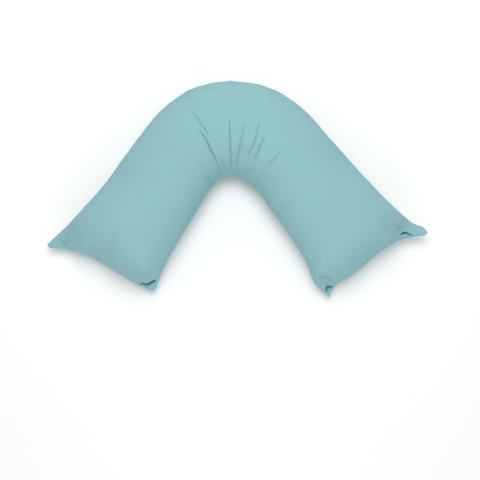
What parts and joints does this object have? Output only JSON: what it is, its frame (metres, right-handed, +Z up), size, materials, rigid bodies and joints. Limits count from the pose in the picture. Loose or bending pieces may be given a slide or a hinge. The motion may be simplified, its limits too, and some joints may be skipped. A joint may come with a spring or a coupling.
{
  "type": "v shaped pillow",
  "caption": "Soft V-shaped support pillow in a plain case, with two plump arms that meet in a rounded bend and a flat ear at each corner, lying on its back.",
  "frame": {"origin": "middle of the pillow's box on the surface that it lies on", "axes": "+Z up out of the surface, +X across the span of the two arms, +Y from the open side of the V to its bend"},
  "size_m": [1.143, 0.648, 0.172],
  "materials": {
    "cotton": "matt plain-woven cotton, pale teal"
  },
  "bodies": {
    "root": {"pillow": "cotton"}
  },
  "joints": []
}
